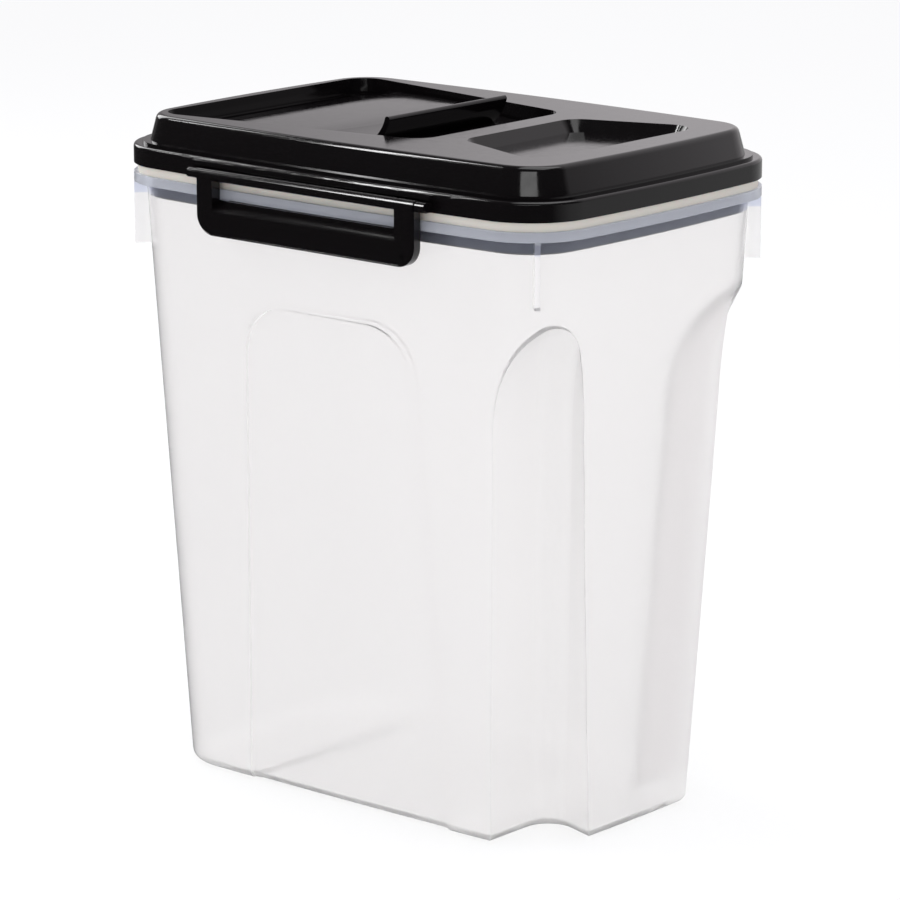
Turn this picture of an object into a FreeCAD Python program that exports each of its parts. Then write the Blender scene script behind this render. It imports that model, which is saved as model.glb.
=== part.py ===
import FreeCAD, Part
import math
import os
import Sketcher
from FreeCAD import Placement, Rotation, Vector

# Airtight pet food bin: a clear tub with a black lid, two wide clip latches,
# a pour flap with an upright pull tab, and a silicone seal under each.
# Axes: +X towards the gripped end, -Y the front long side, +Z up.
# The origin is on the floor under the middle of the tub.

document = FreeCAD.newDocument("pet_food_bin")
sheet = document.addObject("Spreadsheet::Sheet", "Sizes")

SIZES = [
    # rim outline, shared by the lid's skirt and the tub's flange
    ("lid_length", 276, "overall length of the lid, end to end"),
    ("lid_width", 192, "overall width of the lid, side to side"),
    ("side_bow", 5, "how far the middle of each side stands out"),
    ("lid_corner", 33, "corner radius of the lid's outline"),
    # tub
    ("tub_height", 298, "floor to the top of the tub's rim"),
    ("flange_height", 4.6, "thickness of the rim flange"),
    ("flange_overhang", 5.7, "flange beyond the wall below it"),
    ("wall", 1.8, "thickness of the tub's wall"),
    ("base_thickness", 2.2, "thickness of the tub's floor"),
    ("base_length", 243, "length of the tub at its foot"),
    ("base_width", 146, "width of the tub at its foot"),
    ("base_bow", 2, "bow of the sides at the foot"),
    ("base_corner", 31, "corner radius at the foot"),
    ("base_rounding", 5, "rounding of the tub's bottom edge"),
    ("arch_rise", 1.4, "lift of the base between its feet"),
    ("panel_depth", 1.6, "depth of the arched side panels"),
    ("panel_half_foot", 66, "half width of a panel at its foot"),
    ("panel_half_head", 52, "half width of a panel below its arch"),
    ("panel_top", 243, "top of a side panel"),
    ("panel_corner", 26, "radius of a side panel's upper corners"),
    ("grip_foot_x", 31.5, "grip hollow at the foot, along the side"),
    ("grip_foot_y", 45, "grip hollow at the foot, across the end"),
    ("grip_foot_flare", 8.7, "its end wall leans outward by, at the foot"),
    ("grip_head_x", 29.5, "grip hollow below its arch, along the side"),
    ("grip_head_y", 50.4, "grip hollow below its arch, across the end"),
    ("grip_head_flare", 17.5, "its end wall leans outward by, below the arch"),
    ("grip_spring", 196, "height where the grip hollow's arch starts"),
    ("grip_top", 262, "top of the grip hollow"),
    ("grip_closing_x", 54, "how far its arch closes, along the side"),
    ("grip_closing_y", 49, "how far its arch closes, across the end"),
    ("grip_rounding", 10, "inner radius of the grip hollow"),
    ("fin_thickness", 2.6, "thickness of the corner fins"),
    ("fin_height", 31, "height of the corner fins"),
    # main seal
    ("seal_height", 4.4, "visible height of the lid's seal"),
    ("seal_inset", 1.8, "seal's outer face inside the skirt"),
    ("seal_width", 6.4, "width of the seal"),
    ("tongue_inset", 2.4, "seal's tongue inside its outer face"),
    ("tongue_width", 2.6, "width of the seal's tongue"),
    ("tongue_height", 3.6, "height of the seal's tongue"),
    ("tongue_clearance", 0.1, "play round the tongue in its groove"),
    # lid
    ("skirt_height", 9.4, "height of the lid's skirt"),
    ("skirt_rounding", 1.6, "rounding of the skirt's upper edge"),
    ("step_inset", 4.4, "bead at the foot of the raised top, inset"),
    ("step_height", 1.3, "height of that bead"),
    ("plateau_inset", 7.2, "raised top at its foot, inside the skirt"),
    ("plateau_taper", 4.4, "raised top's side leans in by"),
    ("plateau_height", 14.2, "raised top above the skirt"),
    ("plateau_rounding", 3, "rounding of the raised top's edge"),
    ("lid_shell", 2.2, "thickness of the lid's shell"),
    ("plug_clearance", 1.1, "lid's plug inside the tub's wall"),
    ("plug_wall", 2.2, "thickness of the plug ring"),
    ("plug_depth", 9.4, "plug below the tub's rim"),
    ("panel_below", 20, "side panel runs on below the floor"),
    ("arch_slope", 8, "run of the sloping ends of the base's lift"),
    # flap recess and flap
    ("recess_margin", 19, "flap recess from the end of the lid"),
    ("recess_right", 31, "grip end of the flap recess"),
    ("recess_half_left", 74, "half width of the recess at the hinge end"),
    ("recess_half_right", 54, "half width of the recess at the grip end"),
    ("recess_corner", 12, "corner radius of both recesses"),
    ("tier_depth", 8, "depth of a recess down to its ledge"),
    ("tier_width", 1.6, "width of the ledge"),
    ("recess_depth", 13.2, "depth of the flap's recess"),
    ("mouth_margin", 23, "pour mouth from the hinge end of its recess"),
    ("mouth_right", -22, "pour mouth, grip end"),
    ("mouth_half_left", 54, "half width of the mouth at the hinge end"),
    ("mouth_half_right", 42, "half width of the mouth at the grip end"),
    ("lip_height", 1.4, "upstand round the pour mouth"),
    ("lip_width", 2.4, "width of that upstand"),
    ("flap_clearance", 0.8, "flap inside its recess"),
    ("flap_thickness", 2.4, "thickness of the flap's plate"),
    ("flap_crown", 2, "how far the flap's middle stands up"),
    ("flap_right", 4, "grip end of the flap"),
    ("flap_hinge_inset", 8, "hinge ends inside the recess's half width"),
    ("tab_thickness", 3, "thickness of the pull tab"),
    ("tab_sweep", 18.5, "radius of the tab's sweep up from the plate"),
    ("tab_start", -18, "where that sweep starts"),
    ("tab_height", 14.5, "top of the pull tab above the ledge"),
    ("tab_half_width", 43, "half width of the pull tab"),
    ("flap_pin_radius", 1.5, "radius of the flap's hinge stubs"),
    ("flap_pin_length", 6.2, "length of those stubs"),
    ("flap_relief", 2.4, "flap narrower at its hinge end"),
    ("flap_corner", 9, "corner radius of the flap"),
    ("pin_clearance", 0.06, "hole larger than its pin, on radius"),
    # small recess
    ("grip_recess_left", 45, "small recess, hinge side"),
    ("grip_recess_right", 108, "small recess, grip side"),
    ("grip_recess_half_left", 44, "its half width on the hinge side"),
    ("grip_recess_half_right", 58, "its half width on the grip side"),
    ("grip_recess_depth", 5.8, "its depth"),
    ("grip_recess_draft", 4, "its walls lean out this far over that depth"),
    # latches
    ("latch_length", 136, "length of a latch"),
    ("latch_height", 31.5, "height of a latch"),
    ("latch_depth", 5.6, "thickness of a latch"),
    ("latch_rise", 5.6, "latch's top above the foot of the skirt"),
    ("latch_gap", 0.4, "latch clear of the rim's outer face"),
    ("latch_foot_corner", 10, "radius of a latch's lower corners"),
    ("latch_bevel", 1.3, "bevel round a latch's outer face"),
    ("dimple_radius", 1.3, "small dimple in a latch's face"),
    ("dimple_depth", 0.7, "depth of that dimple"),
    ("dimple_inset", 6, "dimple from the latch's end"),
    ("dimple_height", 5, "dimple above the latch's foot"),
    ("window_length", 114, "length of a latch's window"),
    ("window_bevel", 3.2, "bevel round the window"),
    ("bar_height", 12, "height of the lower bar's outer face"),
    ("barrel_radius", 2.8, "radius of a latch's hinge barrel"),
    ("hook_length", 104, "length of a latch's hook"),
    ("hook_reach", 3.6, "hook under the rim flange"),
    ("hook_thickness", 2.6, "thickness of the hook"),
    ("hook_clearance", 0.2, "hook below the flange"),
    ("ear_width", 5.4, "width of a hinge ear on the lid"),
    ("ear_radius", 2.4, "radius of a hinge ear"),
    ("ear_gap", 0.6, "ear clear of the latch's end"),
    ("latch_pin_radius", 1.5, "radius of a latch's hinge stubs"),
    ("latch_pin_length", 3.6, "stub beyond a latch's end"),
    ("shroud_gap", 0.5, "strip above a latch, clear of its barrel"),
    ("shroud_height", 2.2, "height of the strip above a latch"),
    ("shroud_reach", 1.2, "strip beyond the skirt"),
]

# heights of the sections that round off a grip hollow, as shares of the arch's rise
ARCH_SHARES = (0.35, 0.65, 0.88, 1.0)


class Measure:
    """A length that is bound to the sheet: its formula and its value now."""

    def __init__(self, formula, value):
        self.formula = formula
        self.value = value

    def _combine(self, other, sign, result):
        text = other.formula if isinstance(other, Measure) else repr(other)
        return Measure("(%s %s %s)" % (self.formula, sign, text), result)

    def __add__(self, other):
        return self._combine(other, "+", self.value + number(other))

    def __sub__(self, other):
        return self._combine(other, "-", self.value - number(other))

    def __mul__(self, other):
        return self._combine(other, "*", self.value * number(other))

    def __truediv__(self, other):
        return self._combine(other, "/", self.value / number(other))

    def __neg__(self):
        return Measure("(-1 * %s)" % self.formula, -self.value)


def number(quantity):
    """The plain value of a Measure or a number."""
    return quantity.value if isinstance(quantity, Measure) else quantity


def root(measure):
    """The square root of a Measure."""
    return Measure("sqrt(%s)" % measure.formula, math.sqrt(measure.value))


class Sizes:
    """The sheet's sizes as Measures, one attribute for each alias."""


size = Sizes()
for row, (alias, amount, meaning) in enumerate(SIZES, start=1):
    sheet.set("A%d" % row, alias)
    sheet.set("B%d" % row, str(amount))
    sheet.setAlias("B%d" % row, alias)
    sheet.set("C%d" % row, meaning)
document.recompute()
for alias, amount, meaning in SIZES:
    setattr(size, alias, Measure("Sizes." + alias, float(sheet.get(alias))))

zero = size.wall * 0


# --- helpers -----------------------------------------------------------------

def bind(thing, name, measure):
    """Tie a property of an object to its formula."""
    thing.setExpression(name, measure.formula)


def constrain(sketch, name, measure, *reference):
    """Add a dimension to a sketch and tie it to its formula."""
    kind = reference[0]
    index = sketch.addConstraint(Sketcher.Constraint(kind, *reference[1:], number(measure)))
    sketch.renameConstraint(index, name)
    sketch.setExpression("Constraints." + name, measure.formula)


def level_sketch(name, height):
    """An empty horizontal sketch at a height."""
    sketch = document.addObject("Sketcher::SketchObject", name)
    bind(sketch, "Placement.Base.z", height)
    return sketch


def join_ends(sketch, count):
    """Make a ring of curves meet smoothly, end to start."""
    for index in range(count):
        following = (index + 1) % count
        sketch.addConstraint(Sketcher.Constraint("Tangent", index, 2, following, 1))


def corner_centre(half_length, half_width, bow, corner):
    """Centre of the corner arc that runs smoothly into both bowed sides."""
    side = (half_length ** 2 + bow ** 2) / (2 * bow)
    end = (half_width ** 2 + bow ** 2) / (2 * bow)
    from_side = side - corner
    from_end = end - corner
    run = half_length - end
    rise = side - half_width
    span = math.hypot(run, rise)
    along = (span ** 2 + from_side ** 2 - from_end ** 2) / (2 * span)
    off = math.sqrt(from_side ** 2 - along ** 2)
    direction = Vector(run, rise, 0) / span
    normal = Vector(direction.y, -direction.x, 0)
    start = Vector(0, half_width - side, 0)
    choices = [start + direction * along + normal * off, start + direction * along - normal * off]
    return max(choices, key=lambda point: point.x + point.y)


def bowed_outline(name, length, width, bow, corner, inset, height):
    """A rounded rectangle with bowed sides, shrunk evenly by an inset."""
    sketch = level_sketch(name, height)
    half_length = length / 2
    half_width = width / 2
    side_radius = (half_length * half_length + bow * bow) / (bow * 2)
    end_radius = (half_width * half_width + bow * bow) / (bow * 2)
    side_drop = side_radius - half_width
    end_drop = end_radius - half_length
    centre = corner_centre(half_length.value, half_width.value, bow.value, corner.value)
    shrink = inset.value
    lean_end = math.atan2(centre.y, centre.x + end_drop.value)
    lean_side = math.atan2(centre.y + side_drop.value, centre.x)
    quarter = math.pi / 2
    arcs = []
    for turn, (along, drop, radius, lean) in enumerate([
        (Vector(-1, 0, 0), end_drop, end_radius, lean_end),
        (Vector(0, -1, 0), side_drop, side_radius, quarter - lean_side),
        (Vector(1, 0, 0), end_drop, end_radius, lean_end),
        (Vector(0, 1, 0), side_drop, side_radius, quarter - lean_side),
    ]):
        facing = turn * quarter
        middle = along * drop.value
        arcs.append((middle, radius.value - shrink, facing - lean, facing + lean))
        sign_x = 1 if turn in (0, 3) else -1
        sign_y = 1 if turn in (0, 1) else -1
        corner_middle = Vector(sign_x * centre.x, sign_y * centre.y, 0)
        if turn % 2 == 0:
            ends = (facing + lean_end, facing + lean_side)
        else:
            ends = (facing + quarter - lean_side, facing + quarter - lean_end)
        arcs.append((corner_middle, corner.value - shrink, *ends))
    for middle, radius, first, last in arcs:
        circle = Part.Circle(middle, Vector(0, 0, 1), radius)
        sketch.addGeometry(Part.ArcOfCircle(circle, first, last), False)
    join_ends(sketch, 8)
    for opposite in (0, 4):
        sketch.addConstraint(Sketcher.Constraint("PointOnObject", opposite, 3, -1))
    for opposite in (2, 6):
        sketch.addConstraint(Sketcher.Constraint("PointOnObject", opposite, 3, -2))
    constrain(sketch, "end_radius", end_radius - inset, "Radius", 0)
    constrain(sketch, "side_radius", side_radius - inset, "Radius", 2)
    constrain(sketch, "corner_radius", corner - inset, "Radius", 1)
    sketch.addConstraint(Sketcher.Constraint("Equal", 0, 4))
    sketch.addConstraint(Sketcher.Constraint("Equal", 2, 6))
    for other in (3, 5, 7):
        sketch.addConstraint(Sketcher.Constraint("Equal", 1, other))
    constrain(sketch, "right_drop", end_drop, "DistanceX", 0, 3, -1, 1)
    constrain(sketch, "left_drop", end_drop, "DistanceX", -1, 1, 4, 3)
    constrain(sketch, "rear_drop", side_drop, "DistanceY", 2, 3, -1, 1)
    constrain(sketch, "front_drop", side_drop, "DistanceY", -1, 1, 6, 3)
    return sketch


def rim_outline(name, inset, height):
    """The outline that the lid's skirt and the tub's flange share."""
    return bowed_outline(name, size.lid_length, size.lid_width, size.side_bow,
                         size.lid_corner, inset, height)


def foot_outline(name, inset, height):
    """The tub's outline at its foot."""
    return bowed_outline(name, size.base_length, size.base_width, size.base_bow,
                         size.base_corner, inset, height)


def rounded_outline(name, corners, radius, height):
    """A shape with straight sides round discs whose centres are its corners."""
    sketch = level_sketch(name, height)
    fill_rounded(sketch, corners, radius)
    return sketch


def fill_rounded(sketch, corners, radius):
    """Draw straight sides and equal corner arcs round a ring of centres."""
    count = len(corners)
    points = [Vector(number(x), number(y), 0) for x, y in corners]
    reach = number(radius)
    headings = []
    for index in range(count):
        step = points[(index + 1) % count] - points[index]
        headings.append(math.atan2(step.y, step.x))
    quarter = math.pi / 2
    for index in range(count):
        arrive = headings[index - 1] - quarter
        leave = headings[index] - quarter
        while leave < arrive:
            leave += 2 * math.pi
        circle = Part.Circle(points[index], Vector(0, 0, 1), reach)
        sketch.addGeometry(Part.ArcOfCircle(circle, arrive, leave), False)
        out = Vector(math.cos(leave), math.sin(leave), 0) * reach
        following = points[(index + 1) % count]
        sketch.addGeometry(Part.LineSegment(points[index] + out, following + out), False)
    join_ends(sketch, 2 * count)
    constrain(sketch, "corner_radius", radius, "Radius", 0)
    for index in range(1, count):
        sketch.addConstraint(Sketcher.Constraint("Equal", 0, 2 * index))
    for index, (x, y) in enumerate(corners):
        place_point(sketch, "corner_%d" % index, 2 * index, 3, x, y)


def place_point(sketch, name, curve, end, x, y):
    """Fix a point of a sketch at a place given by two formulas."""
    for axis, kind, distance in (("x", "DistanceX", x), ("y", "DistanceY", y)):
        if number(distance) < 0:
            constrain(sketch, name + "_" + axis, -distance, kind, curve, end, -1, 1)
        else:
            constrain(sketch, name + "_" + axis, distance, kind, -1, 1, curve, end)


def fill_polygon(sketch, corners):
    """Draw straight sides between points given by formulas."""
    count = len(corners)
    points = [Vector(number(x), number(y), 0) for x, y in corners]
    for index in range(count):
        sketch.addGeometry(Part.LineSegment(points[index], points[(index + 1) % count]), False)
    for index in range(count):
        following = (index + 1) % count
        sketch.addConstraint(Sketcher.Constraint("Coincident", index, 2, following, 1))
    for index, (x, y) in enumerate(corners):
        place_point(sketch, "corner_%d" % index, index, 1, x, y)


def trapezium(name, left, right, half_left, half_right, corner, inset, height):
    """A rounded trapezium that is symmetric about X, shrunk by an inset."""
    radius = corner - inset
    reach_left = half_left - corner
    reach_right = half_right - corner
    corners = [
        (left + corner, -reach_left),
        (right - corner, -reach_right),
        (right - corner, reach_right),
        (left + corner, reach_left),
    ]
    return rounded_outline(name, corners, radius, height)


def loft(name, sketches, ruled=True):
    """A solid through a stack of outlines."""
    solid = document.addObject("Part::Loft", name)
    solid.Sections = sketches
    solid.Solid = True
    solid.Ruled = ruled
    return solid


def extrude(name, sketch, length):
    """A straight solid on a sketch, along the sketch's own normal."""
    solid = document.addObject("Part::Extrusion", name)
    solid.Base = sketch
    solid.DirMode = "Normal"
    solid.Solid = True
    bind(solid, "LengthFwd", length)
    return solid


def ring(name, outer, inner, length):
    """A band between two outlines."""
    outside = extrude(name + "_outside", outer, length)
    inside = extrude(name + "_inside", inner, length)
    return cut(name, outside, [inside])


def box(name, low, extent):
    """A box from its low corner and its three sizes."""
    block = document.addObject("Part::Box", name)
    for side, distance in zip(("Length", "Width", "Height"), extent):
        bind(block, side, distance)
    for axis, place in zip("xyz", low):
        bind(block, "Placement.Base." + axis, place)
    return block


def pin(name, radius, length, start, direction):
    """A round pin from a point along X or Y."""
    rod = document.addObject("Part::Cylinder", name)
    bind(rod, "Radius", radius)
    bind(rod, "Height", length)
    rod.Placement = Placement(Vector(), Rotation(Vector(0, 0, 1), direction))
    for axis, place in zip("xyz", start):
        bind(rod, "Placement.Base." + axis, place)
    return rod


def fuse(name, solids):
    """One solid from several."""
    whole = document.addObject("Part::MultiFuse", name)
    whole.Shapes = solids
    whole.Refine = True
    return whole


def cut(name, base, tools):
    """A solid less others."""
    tool = tools[0] if len(tools) == 1 else fuse(name + "_tools", tools)
    result = document.addObject("Part::Cut", name)
    result.Base = base
    result.Tool = tool
    result.Refine = True
    return result


def common(name, solids):
    """What two solids share."""
    shared = document.addObject("Part::Common", name)
    shared.Base, shared.Tool = solids
    return shared


def mirrored(name, source, normal):
    """A solid's mirror image across the origin."""
    image = document.addObject("Part::Mirroring", name)
    image.Source = source
    image.Normal = normal
    return image


def edges_where(shape, test):
    """Numbers of the edges whose whole length passes a test of their points."""
    found = []
    for index, edge in enumerate(shape.Edges, start=1):
        first, last = edge.ParameterRange
        points = [edge.valueAt(first + (last - first) * share) for share in (0, 0.5, 1)]
        if all(test(point) for point in points):
            found.append(index)
    return found


def rounded(name, base, radius, test):
    """Round the edges of a solid that pass a test."""
    document.recompute()
    edges = edges_where(base.Shape, test)
    result = document.addObject("Part::Fillet", name)
    result.Base = base
    result.Edges = [(index, radius.value, radius.value) for index in edges]
    return result


def at_height(level):
    """A test for points that lie at one height."""
    return lambda point: abs(point.z - number(level)) < 1e-4


# --- levels and places that several pieces share -----------------------------

rim_top = size.tub_height
flange_bottom = rim_top - size.flange_height
skirt_bottom = rim_top + size.seal_height
ledge_top = skirt_bottom + size.skirt_height
plateau_top = ledge_top + size.plateau_height
tier_level = plateau_top - size.tier_depth
recess_floor = plateau_top - size.recess_depth
base_top = size.arch_rise + size.base_thickness
recess_left = size.recess_margin - size.lid_length / 2
mouth_left = recess_left + size.mouth_margin


# --- tub ---------------------------------------------------------------------

def tub_form(name, inset):
    """The tub's tapered form, shrunk evenly by an inset."""
    foot = foot_outline(name + "_foot", inset, zero)
    head = rim_outline(name + "_head", size.flange_overhang + inset, rim_top)
    return loft(name, [foot, head])


def grip_hollow(name, growth):
    """The hollow at a front grip corner, grown by the wall on the inside."""
    foot_x = size.base_length / 2 - size.grip_foot_x - growth
    foot_y = size.base_width / 2 - size.grip_foot_y - growth
    head_length = size.lid_length / 2 - size.flange_overhang
    head_width = size.lid_width / 2 - size.flange_overhang
    spring_share = size.grip_spring / rim_top
    spring_length = (head_length - size.base_length / 2) * spring_share + size.base_length / 2
    spring_width = (head_width - size.base_width / 2) * spring_share + size.base_width / 2
    spring_x = spring_length - size.grip_head_x - growth
    spring_y = spring_width - size.grip_head_y - growth
    radius = size.grip_rounding + growth
    low = hollow_section(name + "_low", foot_x, foot_y, size.grip_foot_flare, radius, zero)
    spring = hollow_section(name + "_spring", spring_x, spring_y, size.grip_head_flare, radius,
                            size.grip_spring)
    straight = loft(name + "_straight", [low, spring])
    below = extrude(name + "_below", low, -size.base_rounding)
    rise = size.grip_top + growth - size.grip_spring
    sections = [spring]
    for share in ARCH_SHARES:
        drift = 1 - math.sqrt(1 - share ** 2)
        sections.append(hollow_section(
            "%s_at_%d" % (name, round(share * 100)),
            spring_x + size.grip_closing_x * drift, spring_y + size.grip_closing_y * drift,
            size.grip_head_flare, radius, size.grip_spring + rise * share))
    arch = loft(name + "_arch", sections, ruled=False)
    return fuse(name, [below, straight, arch])


def hollow_section(name, inner_x, inner_y, flare, radius, height):
    """One level of a grip hollow: a corner of the tub with a rounded inside."""
    sketch = level_sketch(name, height)
    far_x = size.lid_length
    far_y = size.lid_width
    slope = flare / size.grip_head_x
    end_y = inner_y + slope * (far_x - inner_x)
    turn_x = inner_x + radius
    turn_y = inner_y + (slope + root(slope * slope + 1)) * radius
    turn = Vector(turn_x.value, -turn_y.value, 0)
    outer_end = Vector(far_x.value, -end_y.value, 0)
    away = outer_end - turn
    lean = math.atan2(away.y, away.x) + math.acos(radius.value / away.Length)
    circle = Part.Circle(turn, Vector(0, 0, 1), radius.value)
    side = Vector(inner_x.value, turn.y, 0)
    end = turn + Vector(math.cos(lean), math.sin(lean), 0) * radius.value
    outer_side = Vector(inner_x.value, -far_y.value, 0)
    outer = Vector(far_x.value, -far_y.value, 0)
    sketch.addGeometry(Part.ArcOfCircle(circle, lean, math.pi), False)
    sketch.addGeometry(Part.LineSegment(side, outer_side), False)
    sketch.addGeometry(Part.LineSegment(outer_side, outer), False)
    sketch.addGeometry(Part.LineSegment(outer, outer_end), False)
    sketch.addGeometry(Part.LineSegment(outer_end, end), False)
    sketch.addConstraint(Sketcher.Constraint("Tangent", 0, 2, 1, 1))
    sketch.addConstraint(Sketcher.Constraint("Tangent", 4, 2, 0, 1))
    for index in (1, 2, 3):
        sketch.addConstraint(Sketcher.Constraint("Coincident", index, 2, index + 1, 1))
    for upright in (1, 3):
        sketch.addConstraint(Sketcher.Constraint("Vertical", upright))
    sketch.addConstraint(Sketcher.Constraint("Horizontal", 2))
    constrain(sketch, "inner_radius", radius, "Radius", 0)
    place_point(sketch, "turn", 0, 3, turn_x, -turn_y)
    place_point(sketch, "outer", 3, 1, far_x, -far_y)
    constrain(sketch, "end_y", end_y, "DistanceY", 4, 1, -1, 1)
    return sketch


def build_tub():
    """The clear tub: walls, rim flange, corner fins, grips and side panels."""
    outside = tub_form("tub_outside", zero)
    sunk = tub_form("tub_sunk", size.panel_depth)
    sunk = rounded("tub_sunk_rounded", sunk, size.base_rounding, at_height(0))
    inside = tub_form("tub_inside", size.wall)
    sunk_inside = tub_form("tub_sunk_inside", size.wall + size.panel_depth)
    arch = panel_arch("tub_panel", zero)
    arch_inside = panel_arch("tub_panel_inside", size.wall)
    inner = with_panel("tub_inner", inside, sunk_inside, arch_inside)
    flange_line = rim_outline("flange_outline", zero, flange_bottom)
    flange = extrude("flange", flange_line, size.flange_height)
    hollow = grip_hollow("grip_front", zero)
    hollow_inside = grip_hollow("grip_front_inside", size.wall)
    hollows = [hollow, mirrored("grip_rear", hollow, Vector(0, 1, 0))]
    gripped = cut("tub_gripped", outside, hollows)
    gripped = rounded("tub_foot_rounded", gripped, size.base_rounding, at_height(0))
    hollows_inside = [hollow_inside, mirrored("grip_rear_inside", hollow_inside, Vector(0, 1, 0))]
    above_floor = box("above_floor",
                      (-size.lid_length, -size.lid_width, base_top),
                      (size.lid_length * 2, size.lid_width * 2, size.tub_height * 2))
    room = common("tub_room_raw", (cut("tub_room_gripped", inner, hollows_inside), above_floor))
    outer = with_panel("tub_outer", gripped, sunk, arch)
    shell = fuse("tub_shell", [outer, flange] + corner_fins())
    return cut("tub", shell, [room, base_arch()])


def with_panel(name, form, sunk_form, arch):
    """A form whose arched panels lie on a slightly smaller form."""
    frame = cut(name + "_frame", form, [arch])
    panel = common(name + "_panel", (sunk_form, arch))
    return fuse(name, [frame, panel])


def panel_arch(name, growth):
    """The arched outline of the side panels, run through both long sides."""
    sketch = document.addObject("Sketcher::SketchObject", name + "_outline")
    sketch.Placement = Placement(Vector(), Rotation(Vector(1, 0, 0), 90))
    bind(sketch, "Placement.Base.y", size.lid_width)
    corner = size.panel_corner
    head = size.panel_half_head - corner
    foot = size.panel_half_foot - corner
    below = corner + size.panel_below
    corners = [
        (-foot - growth, -below),
        (foot + growth, -below),
        (head + growth, size.panel_top - corner + growth),
        (-head - growth, size.panel_top - corner + growth),
    ]
    fill_rounded(sketch, corners, corner)
    return extrude(name, sketch, size.lid_width * 2)


def base_arch():
    """The lift of the base between its feet, across the whole width."""
    sketch = document.addObject("Sketcher::SketchObject", "base_arch_outline")
    sketch.Placement = Placement(Vector(), Rotation(Vector(1, 0, 0), 90))
    bind(sketch, "Placement.Base.y", size.lid_width)
    slope = size.arch_slope
    fill_polygon(sketch, [
        (-size.panel_half_foot - slope, -size.arch_rise),
        (size.panel_half_foot + slope, -size.arch_rise),
        (size.panel_half_foot - slope, size.arch_rise),
        (-size.panel_half_foot + slope, size.arch_rise),
    ])
    return extrude("base_arch", sketch, size.lid_width * 2)


def corner_fins():
    """A thin upright fin under the flange at each corner."""
    centre = corner_centre(number(size.lid_length) / 2, number(size.lid_width) / 2,
                           number(size.side_bow), number(size.lid_corner))
    fins = []
    reach = size.flange_overhang * 2
    for index, (sign_x, sign_y) in enumerate([(1, 1), (-1, 1), (-1, -1), (1, -1)]):
        heading = math.degrees(math.atan2(sign_y, sign_x))
        fin = document.addObject("Part::Box", "fin_%d" % index)
        bind(fin, "Length", reach)
        bind(fin, "Width", size.fin_thickness)
        bind(fin, "Height", size.fin_height)
        turn = Rotation(Vector(0, 0, 1), heading)
        start = Vector(number(size.lid_corner) - number(reach), -number(size.fin_thickness) / 2, 0)
        place = Vector(sign_x * centre.x, sign_y * centre.y, 0) + turn.multVec(start)
        fin.Placement = Placement(place, turn)
        bind(fin, "Placement.Base.z", flange_bottom - size.fin_height)
        fins.append(fin)
    return fins


# --- lid and its seal ----------------------------------------------------------

plug_outer = size.flange_overhang + size.wall + size.plug_clearance
plug_inner = plug_outer + size.plug_wall
hinge_y = size.lid_width / 2 + size.latch_gap + size.barrel_radius
latch_top = skirt_bottom + size.latch_rise
hinge_z = latch_top - size.barrel_radius


def recess(name, left, right, half_left, half_right):
    """The two tiers of a recess in the lid's top."""
    tier = extrude(name + "_tier", trapezium(name + "_tier_outline", left, right, half_left,
                                             half_right, size.recess_corner, zero, tier_level),
                   size.tier_depth * 2)
    pit = extrude(name + "_pit", trapezium(name + "_pit_outline", left, right, half_left,
                                           half_right, size.recess_corner, size.tier_width,
                                           recess_floor),
                  size.recess_depth)
    return fuse(name, [tier, pit])


def pan(name, left, right, half_left, half_right, floor):
    """The shell that closes a recess underneath."""
    outline = trapezium(name + "_outline", left, right, half_left, half_right,
                        size.recess_corner, -size.lid_shell, floor - size.lid_shell)
    return extrude(name, outline, size.recess_depth * 2)


def dish():
    """The shallow small recess, whose walls lean outwards as they rise."""
    outlines = []
    for label, level, inset in (
        ("floor", plateau_top - size.grip_recess_depth, size.grip_recess_draft),
        ("rim", plateau_top + size.grip_recess_depth, -size.grip_recess_draft),
    ):
        outlines.append(trapezium("dish_" + label, size.grip_recess_left, size.grip_recess_right,
                                  size.grip_recess_half_left, size.grip_recess_half_right,
                                  size.recess_corner, inset, level))
    return loft("dish", outlines)


def mouth(name, growth, height, length):
    """The pour mouth's outline as a solid, grown by a margin."""
    outline = trapezium(name + "_outline", mouth_left, size.mouth_right,
                        size.mouth_half_left, size.mouth_half_right,
                        size.recess_corner, -growth, height)
    return extrude(name, outline, length)


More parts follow.
